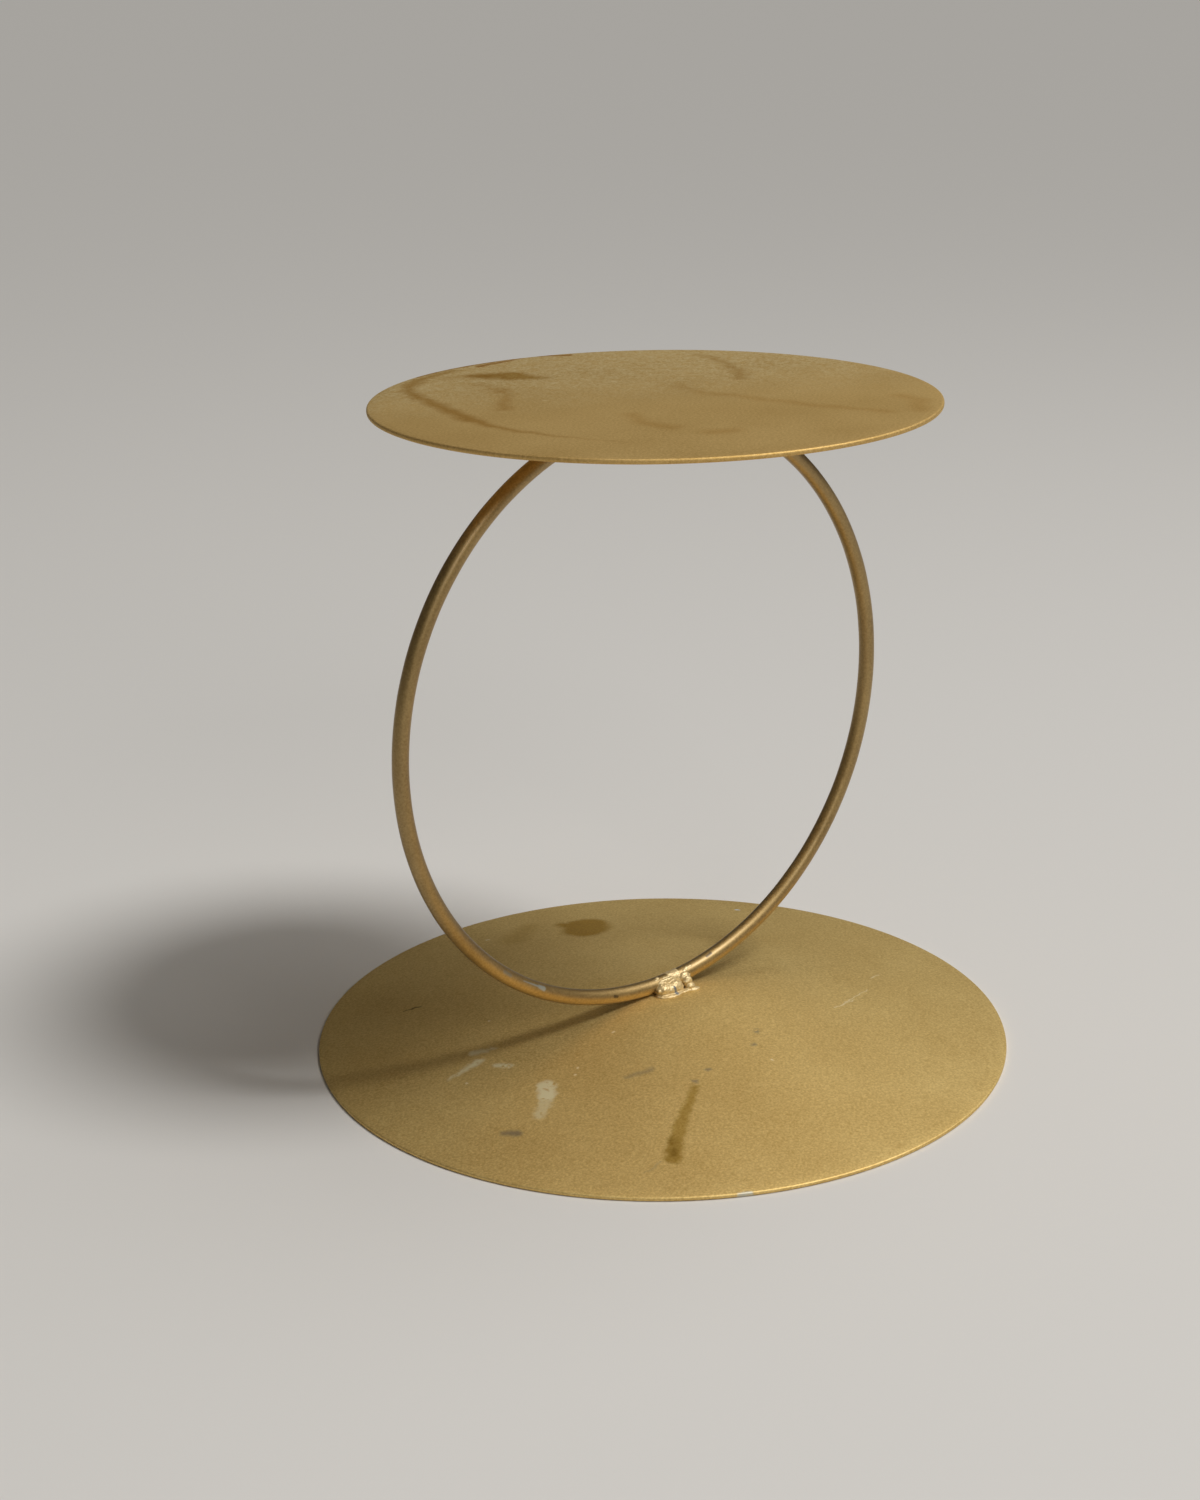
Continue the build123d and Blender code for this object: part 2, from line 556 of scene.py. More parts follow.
# Each lump has its x, y and lift, and then its radii in x, y and z
left_puddle = on_crown(-1.3, -2.9, 1.6, 3.0, 2.4, 2.2)
right_puddle = on_crown(2.9, -3.0, 1.5, 3.0, 2.5, 2.3)
large_lumps = [
    left_puddle,
    right_puddle,
    on_crown(0.8, -3.2, 1.4, 3.4, 2.5, 2.0),
    on_crown(0.7, -3.6, 0.1, 5.4, 3.4, 0.7),
    on_crown(0.8, -1.7, 1.3, 5.2, 1.6, 1.8),
    on_crown(1.2, -2.0, 3.5, 4.4, 0.9, 1.4),
]
for puddle in (left_puddle, right_puddle):
    large_lumps += crumbs(puddle, count=12, smallest=0.5, largest=0.9)
large_weld = melted("foot_weld_left_lump", large_lumps, fine_voxel, roughness=0.26 * mm)
seat(large_weld, "foot_weld_large", all_smooth)

# %% [markdown]
# The right lump runs down from the top of the rod like a candle drip and ends in a flared toe, with a thin
# web back to the left lump. It is made as the left one is, from smaller lumps in a line.

# %% The small foot weld
knuckle = on_crown(7.9, -2.1, 3.4, 2.3, 1.5, 1.7)
drip = on_crown(8.1, -3.4, 2.3, 1.8, 1.6, 1.9)
small_lumps = [
    knuckle,
    drip,
    on_crown(8.3, -4.6, 1.0, 1.7, 1.5, 1.2),
    on_crown(9.2, -5.7, 0.15, 2.1, 1.2, 0.6),
    on_crown(7.9, -1.8, 1.4, 2.3, 1.6, 1.5),
    on_crown(5.8, -1.9, 2.3, 1.7, 1.0, 1.5),
    on_crown(5.6, -4.9, 0.1, 2.6, 1.4, 0.5),
]
small_lumps += crumbs(knuckle, count=7, smallest=0.4, largest=0.7)
small_lumps += crumbs(drip, count=8, smallest=0.4, largest=0.7)
small_weld = melted("foot_weld_right_lump", small_lumps, fine_voxel, roughness=0.24 * mm)
seat(small_weld, "foot_weld_small", all_smooth)

# %% [markdown]
# Over the seam itself the rod is crusted: flat beads, scattered on the front and the top of the rod, on a
# collar that closes the gap. A rough texture on the rod would leave its outline smooth, so the beads are
# real lumps.

# %% A place on the rod
def on_rod(x, around, depth):
    """A place under the rod's skin: x along it, around from the front over the top, and a depth."""
    turn = asin((x - ring_middle.x) / ring_radius)
    out = Vector((sin(turn), 0, -cos(turn)))
    side = Vector((0, -1, 0)) * cos(radians(around)) - out * sin(radians(around))
    return ring_middle + out * ring_radius + side * (rod_radius - depth)


print(f"the rod's top at the seam is {on_rod(weld_place, 90, 0).z / mm:.2f} mm high")

# %% Beads of crust
crust_beads = 30
crust_sizes = (0.5, 0.9)
crust_around = (-10, 140)
crust_stretch = (1.3, 2.2)
crust_sunk = 0.8

# The crust's two ends and its thickest place along the rod, in millimetres
crust_reach = (-4, 13, 5)

seam_lumps = []
for bead in range(crust_beads):
    bead_size = dice.uniform(*crust_sizes) * mm
    bead_x = dice.triangular(*crust_reach) * mm
    bead_place = on_rod(bead_x, dice.uniform(*crust_around), crust_sunk * bead_size)
    bead_length = bead_size * dice.uniform(*crust_stretch)
    seam_lumps.append((bead_place, [bead_length, bead_size, bead_size]))
print("crust of", len(seam_lumps), "beads")

# %% The collar that closes the seam
collar_rings = 7
collar_run = 2.5 * seam_gap
collar_width = 0.9 * mm
collar_proud = 0.15 * mm
collar_radius = rod_radius + collar_proud
for step in range(collar_rings):
    collar_x = weld_place + (step / (collar_rings - 1) - 0.5) * collar_run
    seam_lumps.append((on_rod(collar_x, 0, rod_radius), [collar_width, collar_radius, collar_radius]))
seam_weld = melted("seam_crust", seam_lumps, fine_voxel, roughness=0.2 * mm)
seat(seam_weld, "ring_seam_weld", all_smooth)

# %% [markdown]
# Behind the rod and under the top plate the welds are out of sight. They are plain short beads, so a few
# overlapping puddles in a row are enough.

# %% The rear foot weld
plain_voxel = 0.2 * mm
bead_pitch = 2.4 * mm
bead_reach = 2.9 * mm
bead_lift = 0.7 * mm
bead_radii = [0.85 * bead_pitch, 1.9 * mm, 1.7 * mm]


def bead_row(middle_x, side, level, count):
    """Puddles in a row beside the rod, on the side of it that side points to."""
    places = [middle_x + (step - (count - 1) / 2) * bead_pitch for step in range(count)]
    return [(Vector((x, side * bead_reach, level)), bead_radii) for x in places]


rear_row = bead_row(weld_place, 1, crown_top + bead_lift, count=4)
rear_weld = melted("foot_weld_rear_bead", rear_row, plain_voxel, roughness=0.2 * mm)
seat(rear_weld, "foot_weld_rear", all_smooth)

# %% [markdown]
# Under the top plate there is one bead on each side of the rod. The front one is modelled, and the rear
# one is a copy of it, mirrored across the rod. A mirror turns a mesh inside out, so its normals are made
# new.

# %% The two top welds
top_row = bead_row(ring_middle.x, -1, top_under - bead_lift, count=5)
top_weld_front = melted("top_weld_front_bead", top_row, plain_voxel, roughness=0.2 * mm)
only(top_weld_front)
bpy.ops.object.duplicate(linked=False)
top_weld_rear = bpy.context.object
top_weld_rear.name = "top_weld_rear_bead"
top_weld_rear.scale.y = -1
bpy.ops.object.transform_apply(location=True, rotation=True, scale=True)
bpy.ops.object.mode_set(mode="EDIT")
bpy.ops.mesh.select_all(action="SELECT")
bpy.ops.mesh.normals_make_consistent(inside=False)
bpy.ops.object.mode_set(mode="OBJECT")
seat(top_weld_front, "top_weld_front", all_smooth)
seat(top_weld_rear, "top_weld_rear", all_smooth)
welds = [large_weld, small_weld, seam_weld, rear_weld, top_weld_front, top_weld_rear]

# %% [markdown]
# ## Marks of use
# Runs in the lacquer, scuffs, smudges and scratches are strokes: each has two ends, a width at each end
# and a feather. They could be painted on an image, but strokes need no file and stay sharp. One node group
# measures how far a point is from a stroke, so a material can draw many of them. It also looks at the
# surface's direction, so that a stroke on a plate's face doesn't show on its underside.

# %% Sockets of the stroke group
stroke = bpy.data.node_groups.new("stroke", "ShaderNodeTree")
for name, kind in (
    ("Place", "NodeSocketVector"),
    ("From", "NodeSocketVector"),
    ("To", "NodeSocketVector"),
    ("From Width", "NodeSocketFloat"),
    ("To Width", "NodeSocketFloat"),
    ("Feather", "NodeSocketFloat"),
    ("Least Up", "NodeSocketFloat"),
):
    stroke.interface.new_socket(name, in_out="INPUT", socket_type=kind)
stroke.interface.new_socket("Mask", in_out="OUTPUT", socket_type="NodeSocketFloat")
given = put(stroke, "NodeGroupInput").outputs
print("stroke group has", len(stroke.interface.items_tree), "sockets")

# %% Distance from the stroke's line
to_place = {0: given["Place"], 1: given["From"]}
reach = put(stroke, "ShaderNodeVectorMath", to_place, operation="SUBTRACT").outputs[0]
to_end = {0: given["To"], 1: given["From"]}
run = put(stroke, "ShaderNodeVectorMath", to_end, operation="SUBTRACT").outputs[0]
along = put(stroke, "ShaderNodeVectorMath", {0: reach, 1: run}, operation="DOT_PRODUCT").outputs["Value"]
whole = put(stroke, "ShaderNodeVectorMath", {0: run, 1: run}, operation="DOT_PRODUCT").outputs["Value"]
parts = {0: along, 1: whole}
share = put(stroke, "ShaderNodeMath", parts, operation="DIVIDE", use_clamp=True).outputs[0]
nearest = put(stroke, "ShaderNodeVectorMath", {0: run, "Scale": share}, operation="SCALE").outputs[0]
gap = {0: reach, 1: nearest}
distance = put(stroke, "ShaderNodeVectorMath", gap, operation="DISTANCE").outputs["Value"]
print("distance measured with", len(stroke.nodes), "nodes")

# %% Width, feather and the face that is drawn on
widths = {"Value": share, "To Min": given["From Width"], "To Max": given["To Width"]}
width = put(stroke, "ShaderNodeMapRange", widths).outputs[0]
soft = {0: width, 1: given["Feather"]}
inner = put(stroke, "ShaderNodeMath", soft, operation="SUBTRACT").outputs[0]
outer = put(stroke, "ShaderNodeMath", soft, operation="ADD").outputs[0]
fade = {"Value": distance, "From Min": inner, "From Max": outer, "To Min": 1.0, "To Max": 0.0}
spot = put(stroke, "ShaderNodeMapRange", fade, interpolation_type="SMOOTHSTEP").outputs[0]
normal = put(stroke, "ShaderNodeTexCoord").outputs["Normal"]
upward = put(stroke, "ShaderNodeSeparateXYZ", {"Vector": normal}).outputs["Z"]
facing = {0: upward, 1: given["Least Up"]}
seen = put(stroke, "ShaderNodeMath", facing, operation="GREATER_THAN").outputs[0]
mask = put(stroke, "ShaderNodeMath", {0: spot, 1: seen}, operation="MULTIPLY").outputs[0]
put(stroke, "NodeGroupOutput", {"Mask": mask})
print("stroke group with", len(stroke.nodes), "nodes")

# %% [markdown]
# Marks of one kind are drawn together: a list of strokes makes one mask, where the strongest stroke wins,
# and the mark's colour is laid over the lacquer there. A path through several points is a chain of
# strokes. A width below zero thins a stroke to a part of its feather, so that it fades out.

# %% A path of strokes
def path(points, start_width, end_width):
    """A chain of strokes through points, with half widths in millimetres that change along the way."""
    links = len(points) - 1
    widths = [start_width + (end_width - start_width) * i / links for i in range(links + 1)]
    return [(points[i], points[i + 1], widths[i], widths[i + 1]) for i in range(links)]


print("three points make", len(path([(0, 0), (1, 0), (1, 1)], 1, 2)), "strokes")

# %% Draw marks on a coat
face_only = 0.2
all_round = -2.0


def draw_marks(
    tree, color, place, strokes, feather, hex_color, strength, where=face_only, breaks=None, blend="MIX"
):
    """Lay a colour over a coat along strokes in millimetres, or tint the coat where blend says MULTIPLY.

    breaks is a mask that leaves gaps in the mark.
    """
    mask = None
    for start, end, start_width, end_width in strokes:
        inputs = {
            "Place": place,
            "From": Vector(start).to_3d() * mm,
            "To": Vector(end).to_3d() * mm,
            "From Width": start_width * mm,
            "To Width": end_width * mm,
            "Feather": feather * mm,
            "Least Up": where,
        }
        one = put(tree, "ShaderNodeGroup", inputs, node_tree=stroke).outputs["Mask"]
        if mask is None:
            mask = one
        else:
            mask = put(tree, "ShaderNodeMath", {0: mask, 1: one}, operation="MAXIMUM").outputs[0]
    if breaks is not None:
        mask = put(tree, "ShaderNodeMath", {0: mask, 1: breaks}, operation="MULTIPLY").outputs[0]
    cover = put(tree, "ShaderNodeMath", {0: mask, 1: strength}, operation="MULTIPLY").outputs[0]

    # A Mix node keeps its two colours in sockets 6 and 7, and gives the mixed one in its output 2
    layers = {"Factor": cover, 6: color, 7: linear(hex_color)}
    return put(tree, "ShaderNodeMix", layers, data_type="RGBA", blend_type=blend).outputs[2]


print("marks on a face need its normal to point up by more than", face_only)

# %% [markdown]
# ## Gold lacquer
# The finish is spray lacquer with bronze flake on steel, dried satin. The flake gives a broad glow and a
# fine sparkle, the spray gives a slight orange peel, and thin and thick places give slow clouds of tone.
# One gold colour would look like plastic, so three noises, each with a size in millimetres, make the coat.
# Real flake is a few hundredths of a millimetre across, far too fine to show, so the grain here is drawn
# at about a millimetre.

# %% Colour, grain and surface of the coat
grain_size = 0.75 * mm
peel_size = 2.6 * mm
peel_height = 0.12 * mm
cloud_size = 34 * mm
peel_strength = 0.15
grit_strength = 0.35
tone_low = 0.37
tone_high = 0.63


def gold_lacquer(tree, dark, light, grain_share, grit_height):
    """Place, colour, grain and surface normal of a sprayed coat.

    grain_share is the grain's share of the tone, and grit_height is how far the grain stands out.
    """
    place = put(tree, "ShaderNodeTexCoord").outputs["Object"]
    flake = {"Vector": place, "Scale": 1 / grain_size, "Detail": 5.0, "Roughness": 0.7}
    grain = put(tree, "ShaderNodeTexNoise", flake).outputs["Fac"]
    orange_peel = {"Vector": place, "Scale": 1 / peel_size, "Detail": 2.0}
    peel = put(tree, "ShaderNodeTexNoise", orange_peel).outputs["Fac"]
    thickness = {"Vector": place, "Scale": 1 / cloud_size, "Detail": 4.0}
    cloud = put(tree, "ShaderNodeTexNoise", thickness).outputs["Fac"]

    # A Mix node keeps its two numbers in sockets 2 and 3
    tone = put(tree, "ShaderNodeMix", {"Factor": grain_share, 2: cloud, 3: grain}).outputs[0]
    contrast = {"Value": tone, "From Min": tone_low, "From Max": tone_high}
    spread = put(tree, "ShaderNodeMapRange", contrast).outputs[0]
    golds = {"Factor": spread, 6: linear(dark), 7: linear(light)}
    color = put(tree, "ShaderNodeMix", golds, data_type="RGBA").outputs[2]
    waves = {"Height": peel, "Strength": peel_strength, "Distance": peel_height}
    wavy = put(tree, "ShaderNodeBump", waves).outputs[0]
    grit = {"Height": grain, "Strength": grit_strength, "Distance": grit_height, "Normal": wavy}
    normal = put(tree, "ShaderNodeBump", grit).outputs[0]
    return place, color, grain, normal


print(f"grain {grain_size / mm:.2f} mm, peel {peel_size / mm:.1f} mm, clouds {cloud_size / mm:.0f} mm")

# %% Uneven outlines
outline_detail = 3.0


def wander(tree, place, size, amount):
    """Flat coordinates that wander sideways, so that strokes get uneven outlines."""
    drift = {"Vector": place, "Scale": 1 / size, "Detail": outline_detail}
    noise = put(tree, "ShaderNodeTexNoise", drift).outputs["Color"]
    middle = {0: noise, 1: (0.5, 0.5, 0.5)}
    centred = put(tree, "ShaderNodeVectorMath", middle, operation="SUBTRACT").outputs[0]
    sideways = {0: centred, "Scale": amount}
    shift = put(tree, "ShaderNodeVectorMath", sideways, operation="SCALE").outputs[0]
    moved = put(tree, "ShaderNodeVectorMath", {0: place, 1: shift}, operation="ADD").outputs[0]
    flat = {0: moved, 1: (1, 1, 0)}
    return put(tree, "ShaderNodeVectorMath", flat, operation="MULTIPLY").outputs[0]


print("outlines wander by a noise with a detail of", outline_detail)

# %% [markdown]
# The flake makes the coat metallic, and its broken skin makes it satin. Metal paint of this kind starts
# near a roughness of 0.5, and each piece is then matched to its own lights. Where the lacquer lies thick,
# clear binder closes over the flake and adds a paler light, which the shader's coat gives.

# %% A satin shader
binder_roughness = 0.38
grain_low = 0.3
grain_high = 0.7


def satin(tree, color, grain, normal, smooth, rough, metallic=1.0, clear=0.0):
    """Join colour, grain and normal into a satin shader whose roughness follows the grain.

    clear is how far the clear binder has closed over the flake.
    """
    limits = {
        "Value": grain,
        "From Min": grain_low,
        "From Max": grain_high,
        "To Min": smooth,
        "To Max": rough,
    }
    roughness = put(tree, "ShaderNodeMapRange", limits).outputs[0]
    surface = {
        "Base Color": color,
        "Roughness": roughness,
        "Metallic": metallic,
        "Normal": normal,
        "Coat Weight": clear,
        "Coat Roughness": binder_roughness,
    }
    shader = put(tree, "ShaderNodeBsdfPrincipled", surface)
    put(tree, "ShaderNodeOutputMaterial", {"Surface": shader.outputs["BSDF"]})


print("roughness follows the grain from", grain_low, "to", grain_high)

# %% [markdown]
# ### The base's finish
# An olive run of thick lacquer comes down towards the viewer. Left of it are pale scuffs, where something
# rubbed off the gold, and grey smudges. At the back are a brown stain and faint clouds. At the front rim a
# chip shows the steel. A random scatter would be quicker, but the real marks are few and each has its own
# place, so they are listed one by one, in millimetres from the middle of the base.

# %% Thick and stained places on the base
base_run = path(
    [(-28, -49.5), (-33, -53.5), (-39, -57.5), (-44.5, -62), (-50, -66.5), (-56, -72.5)], 1.1, 2.5
)
base_run_foot = path([(-50, -66.5), (-55.5, -72)], 1.6, 2.3)
base_run_pools = path([(-49.6, -64), (-52, -66.6)], 0.4, 0.7)
base_run_pools += path([(-53.2, -69.4), (-54.6, -71)], 0.8, 1.1)
base_stains = path([(25, 71.5), (28.5, 75.5)], 8.6, 7.6)
base_stains += path([(25, 76), (22.5, 83.5)], 4.5, 1.5)
base_clouds = path([(14, 90), (2, 82)], 3.5, 5.0)
print("run and stains:", len(base_run + base_run_foot + base_run_pools + base_stains), "strokes")

# %% Scuffs and smudges on the base
base_scuffs = (
    path([(-60.8, -18.6), (-63.4, -22.4)], 2.9, 2.6)
    + path([(-58.3, 12), (-64.3, 14.5)], 0.7, 1.2)
    + path([(-66, 9), (-71, 8.4), (-78, 7.7)], 1.5, 0.3)
    + path([(-61.6, -0.6), (-63.8, 2.6)], 1.1, 1.0)
)
base_scuff_tail = path([(-63.4, -22.4), (-67, -26), (-71.8, -29.4)], 2.5, 1.7)
base_smudges = (
    path([(8.6, -36.5), (7.9, -37.1)], 0.7, 0.7)
    + path([(2.2, -42.1), (1.8, -42.5)], 0.5, 0.5)
    + path([(-19.4, -44.9), (-18.8, -45.3)], 0.6, 0.6)
    + path([(-26.4, -47.0), (-26, -47.4)], 0.6, 0.6)
    + path([(-60, -71), (-64, -73), (-67, -72)], 0.0, -0.3)
)
base_rub = path([(-84.4, -28.8), (-81.9, -31.8)], 0.7, 1.5)
base_smear = path([(-40.7, -32.4), (-32.2, -34)], 0.4, 0.8)
print("scuffs and smudges:", len(base_scuffs + base_scuff_tail + base_smudges), "strokes")

# %% Scratches, specks and chips on the base
base_scratches = path([(-60, 58.7), (-55.2, 57.4)], 0.2, 0.5)
base_pale_specks = [
    (-51, -20), (-48, -18), (-28, -10), (0.7, -52), (-76, 1.2), (-4, 89.7), (-48, 28)
]
base_pale = (
    path([(42, -36.5), (52.7, -34.7)], 0.2, 0.15)
    + path([(48, -35), (62.7, -30.5)], 0.2, 0.15)
    + path([(71.6, -23.4), (76.2, -22.5)], 0.25, 0.2)
    + [(spot, spot, 0.5, 0.5) for spot in base_pale_specks]
)
base_fleck = [((82, 55), (81.4, 55.5), 0.7, 0.7)]
base_chips = path([(-52.4, -96.9), (-49.2, -98.6)], 0.4, 0.7)
print("scratches and specks:", len(base_scratches + base_pale + base_fleck), "strokes")

# %% The base's coat and the wear in it
wear_size = 2.2 * mm
wear_low = 0.32
wear_high = 0.46

# Flake lacquer on pressed steel: a broad, sandy glow with no sharp reflection
material, tree = new_material("gold_lacquer_on_pressed_steel")
place, color, grain, normal = gold_lacquer(
    tree, "#D3B36E", "#F1D896", grain_share=0.8, grit_height=0.05 * mm
)
broad = wander(tree, place, size=7 * mm, amount=4 * mm)
close = wander(tree, place, size=2.4 * mm, amount=2.4 * mm)
rubbing = {"Vector": place, "Scale": 1 / wear_size, "Detail": 3.0}
wear = put(tree, "ShaderNodeTexNoise", rubbing).outputs["Fac"]
patchy = {"Value": wear, "From Min": wear_low, "From Max": wear_high}
breaks = put(tree, "ShaderNodeMapRange", patchy).outputs[0]
print(material.name, "starts with", len(tree.nodes), "nodes")

# %% Lacquer the base
# Each row has its strokes, their feather in millimetres, a colour and its strength
base_tints = [
    (broad, base_stains, 2.0, "#D3C185", 0.9),
    (broad, base_clouds, 4.0, "#DCCDA0", 0.45),
    (close, base_run, 1.1, "#D9CFA4", 0.9),
    (close, base_run_foot, 1.6, "#D6CEA8", 0.35),
    (close, base_run_pools, 0.9, "#CBC09A", 0.6),
]
for outline, strokes, feather, tint, strength in base_tints:
    color = draw_marks(tree, color, outline, strokes, feather, tint, strength, blend="MULTIPLY")

base_worn = [
    (base_scuff_tail, 1.2, "#FAF0C8", 0.65),
    (base_scuffs, 1.2, "#FCF3CE", 0.92),
    (base_smudges, 0.9, "#988A76", 0.75),
]
for strokes, feather, tone, strength in base_worn:
    color = draw_marks(tree, color, close, strokes, feather, tone, strength, breaks=breaks)

base_touches = [
    (base_rub, 1.2, "#887C6E", 0.65, face_only),
    (base_smear, 1.5, "#8F8272", 0.5, face_only),
    (base_scratches, 0.3, "#6E5420", 0.7, face_only),
    (base_pale, 0.25, "#FFF2CC", 0.7, face_only),
    (base_fleck, 0.35, "#F6FAFA", 0.95, face_only),
    (base_chips, 0.6, "#CDD5D4", 0.7, all_round),
]
for strokes, feather, tone, strength, where in base_touches:
    color = draw_marks(tree, color, close, strokes, feather, tone, strength, where)
satin(tree, color, grain, normal, smooth=0.60, rough=0.68)
base.data.materials.append(material)
print(material.name, len(tree.nodes), "nodes")

# %% [markdown]
# ### The top plate's finish
# The top was sprayed from the front: towards the back the spray fell dry, which leaves it paler and
# sandier. Brown runs, wiped while wet, wander over the face, and some collected at the back edge. A
# gradient alone would end in a straight line, so the dry spray drifts with a noise.

# %% Runs on the left of the top plate
top_arc = path(
    [
        (-16, 79.5), (-24, 78), (-32, 75), (-41, 68), (-47.5, 60),
        (-50, 50), (-53, 38), (-56, 25), (-59, 10),
    ],
    1.4,
    2.6,
)
top_arc += path([(-59, 10), (-60, 0), (-58.5, -11), (-55, -22), (-51, -33), (-45, -45)], 2.2, -1.2)
top_patch = path([(-16, 66.5), (-9, 60)], 3.5, 6.5)
top_patch += path([(-9, 60), (-6.5, 55), (-2.6, 49.6)], 6.5, 1.0)
top_hook = path([(-23, 44), (-28.4, 35.3), (-35.8, 26), (-42.8, 17)], 0.8, 1.8)
print("left runs:", len(top_arc + top_patch + top_hook), "strokes")

# %% Wipes, edges and specks on the top plate
top_smears = (
    path([(-27, 71.3), (-19.7, 67.9), (-14, 65)], 1.5, 4.0)
    + path([(-24.6, 54.3), (-25, 48.8), (-26.7, 41)], 1.4, 1.6)
    + path([(-20.7, -14.7), (-25.4, -25.5), (-24, -36)], 1.8, 2.6)
    + path([(-20, -49), (-14, -51)], 2.6, 2.2)
    + path([(55, -47), (54.4, -55), (43, -66)], 2.0, 2.0)
)
top_back = path([(58, 49), (58.5, 41), (53.5, 29), (50, 20), (44.6, 11.5), (40, 7)], 1.0, 2.0)
top_line = path(
    [
        (17.6, 10), (16, -1), (17, -8), (20, -12), (22, -26),
        (25, -34), (28, -44), (32, -53), (35.5, -62),
    ],
    1.5,
    1.5,
)
top_edge = path([(19.5, 82.3), (23.3, 79.2), (28.4, 76.8)], 0.9, 1.1)
top_edge += path([(-31, 79.2), (-15, 83.5), (0, 84.4), (14, 83.4)], 0.5, 0.6)
top_edge += path([(-5.5, 80.9), (0.5, 81.9), (10.7, 82.2)], 1.2, 0.5)
top_speck_places = [(2.6, 27.3), (-6.1, 40.4), (-25.3, 19.9), (-4, 33), (9, 30), (14, 21), (4, 38)]
top_specks = [(spot, spot, 0.8, 0.8) for spot in top_speck_places]
print("wipes and edges:", len(top_smears + top_back + top_line + top_edge), "strokes")

# %% The top plate's coat and its dry spray
dry_way = (0.40, 0.92, 0)
dry_from = -22 * mm
dry_to = 52 * mm
sand_size = 1.5 * mm
sand_low = 0.38
sand_high = 0.68
sand_most = 0.85
sand_color = "#E6D3A2"

# Flake lacquer on flat steel: the same glow, and a pale dusty grain where the spray fell dry
material, tree = new_material("gold_lacquer_on_flat_steel")
place, color, grain, normal = gold_lacquer(
    tree, "#C2A05F", "#DFC081", grain_share=0.75, grit_height=0.05 * mm
)
broad = wander(tree, place, size=9 * mm, amount=5 * mm)
drifting = wander(tree, place, size=16 * mm, amount=34 * mm)
back = {0: drifting, 1: dry_way}
toward_back = put(tree, "ShaderNodeVectorMath", back, operation="DOT_PRODUCT").outputs["Value"]
dry_limits = {"Value": toward_back, "From Min": dry_from, "From Max": dry_to}
dry = put(tree, "ShaderNodeMapRange", dry_limits, interpolation_type="SMOOTHSTEP").outputs[0]
droplets = {"Vector": place, "Scale": 1 / sand_size, "Detail": 4.0, "Roughness": 0.7}
specks = put(tree, "ShaderNodeTexNoise", droplets).outputs["Fac"]
sandy = {"Value": specks, "From Min": sand_low, "From Max": sand_high, "To Max": sand_most}
sand = put(tree, "ShaderNodeMapRange", sandy).outputs[0]
dust = put(tree, "ShaderNodeMath", {0: dry, 1: sand}, operation="MULTIPLY").outputs[0]
dusted = {"Factor": dust, 6: color, 7: linear(sand_color)}
color = put(tree, "ShaderNodeMix", dusted, data_type="RGBA").outputs[2]
print(material.name, "starts with", len(tree.nodes), "nodes")

# %% Lacquer the top plate
top_tints = [
    (top_arc, 2.4, "#DCCAA4", 0.95),
    (top_back, 2.8, "#DCCAA4", 0.7),
    (top_hook, 3.0, "#E4D2AC", 0.75),
    (top_patch, 3.0, "#D2BC84", 0.9),
    (top_line + top_smears, 3.8, "#E6D6B4", 0.55),
    (top_edge, 0.7, "#C9A062", 0.85),
]
for strokes, feather, tint, strength in top_tints:
    color = draw_marks(tree, color, broad, strokes, feather, tint, strength, blend="MULTIPLY")
color = draw_marks(tree, color, broad, top_specks, 0.6, "#F2DFAE", 0.4)
satin(tree, color, grain, normal, smooth=0.62, rough=0.70)
top.data.materials.append(material)
print(material.name, len(tree.nodes), "nodes")
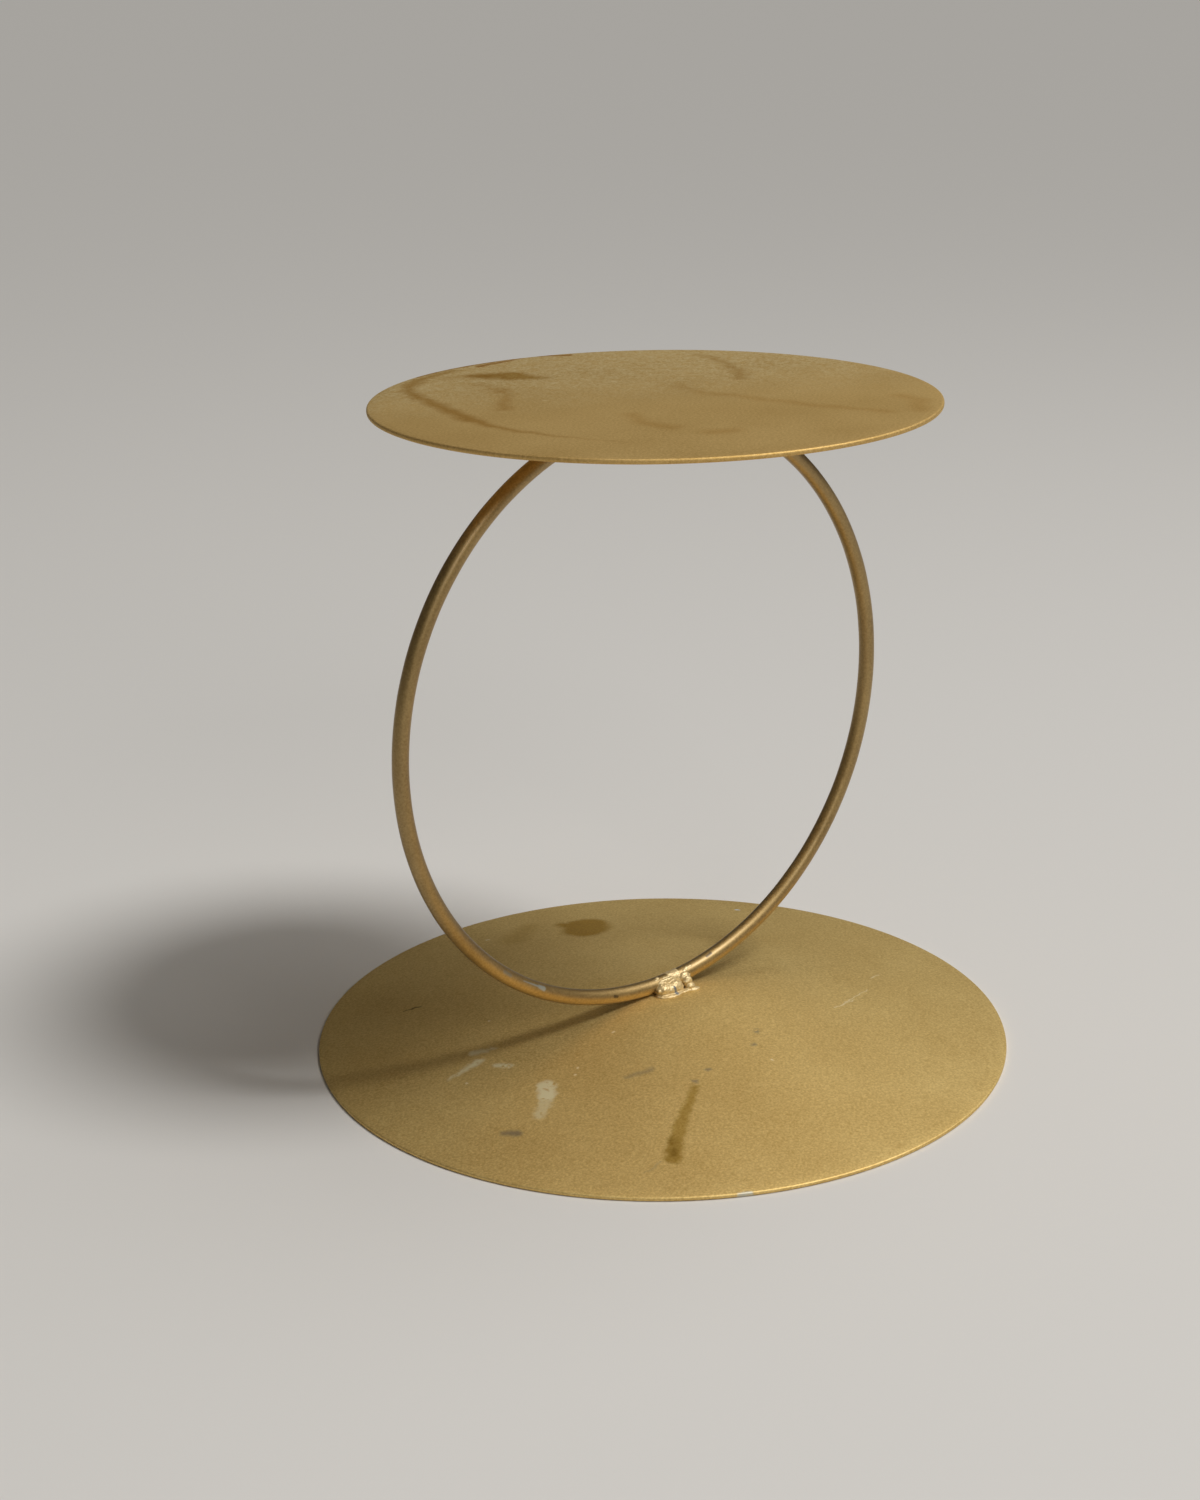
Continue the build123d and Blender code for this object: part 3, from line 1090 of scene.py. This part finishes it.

# %% [markdown]
# ### The ring's finish
# Drawn rod is smoother than sheet, and lacquer flows around it until the binder closes over the flake,
# which gives sharper, paler lights. Its gold is set darker than the plates' same lacquer, as painted shade
# for the rod's dark sides. It shares the coat's helpers with the plates, and a few nicks and a chip break
# it near the foot.

# %% Lacquer the ring
rod_nicks = (
    path([(-20.8, -2.4, 19.6), (-19.8, -2.4, 19.2)], 0.5, 0.4)
    + path([(18.2, -1.4, 21.8), (20.1, -1.3, 22.4)], 0.4, 0.4)
    + path([(10.6, -1, 20.0), (11.2, -0.2, 20.3)], 0.4, 0.4)
)
rod_chips = path([(-50.0, -2.1, 31.6), (-48.4, -2.2, 30.5)], 0.6, 0.8)
rod_chips += path([(-55.9, -2.2, 35.3), (-50.0, -2.1, 31.6)], 0.1, 0.3)
rod_scuffs = path([(-63.0, -2.4, 40.4), (-60.8, -2.4, 38.5)], 0.6, 0.5)

# Flake lacquer under clear binder on drawn rod: a gold body darkened with painted shade, with a pale line
# of light along it
material, tree = new_material("gold_lacquer_on_drawn_rod")
place, color, grain, normal = gold_lacquer(
    tree, "#8F7443", "#B79B64", grain_share=0.6, grit_height=0.02 * mm
)
rod_marks = [
    (rod_nicks, 0.3, "#3A2A10", 0.8),
    (rod_chips, 0.3, "#BCC2BC", 0.85),
    (rod_scuffs, 0.35, "#8E8F88", 0.6),
]
for strokes, feather, tone, strength in rod_marks:
    color = draw_marks(tree, color, place, strokes, feather, tone, strength, all_round)
satin(tree, color, grain, normal, smooth=0.50, rough=0.58, clear=0.7)
ring.data.materials.append(material)
print(material.name, len(tree.nodes), "nodes")

# %% [markdown]
# ### The welds' finish
# Lacquer pools on rough weld metal and dries glossy and pale. The ring's material would be too dark here.
# The thick binder hides part of the flake, so the welds get a coat of their own that is less metallic. On
# the large lump one spot was knocked bare, and bluish steel shows, with a painted highlight, a pale glint,
# at its lower end.

# %% Lacquer the welds
bare_slot = path([(1.3, -5.2, 17.2), (1.7, -6.0, 15.2)], 0.45, 0.6)
# The pale dot at the lower end of the bare slot is a painted highlight: a glint on the steel
painted_glint_tip = path([(1.8, -6.2, 14.6), (1.8, -6.4, 14.4)], 0.5, 0.5)

# Pooled lacquer on weld metal: pale gold with many small lights on its crumbs
material, tree = new_material("gold_lacquer_pooled_on_weld")
place, color, grain, normal = gold_lacquer(
    tree, "#CDB077", "#E8D3A0", grain_share=0.5, grit_height=0.05 * mm
)
weld_marks = [
    (bare_slot, 0.2, "#6F767C", 0.9),
    (painted_glint_tip, 0.2, "#C6D6DC", 1.0),
]
for strokes, feather, tone, strength in weld_marks:
    color = draw_marks(tree, color, place, strokes, feather, tone, strength, all_round)
satin(tree, color, grain, normal, smooth=0.50, rough=0.62, metallic=0.6, clear=0.7)
for weld in welds:
    weld.data.materials.append(material)
print(material.name, len(tree.nodes), "nodes on", len(welds), "welds")
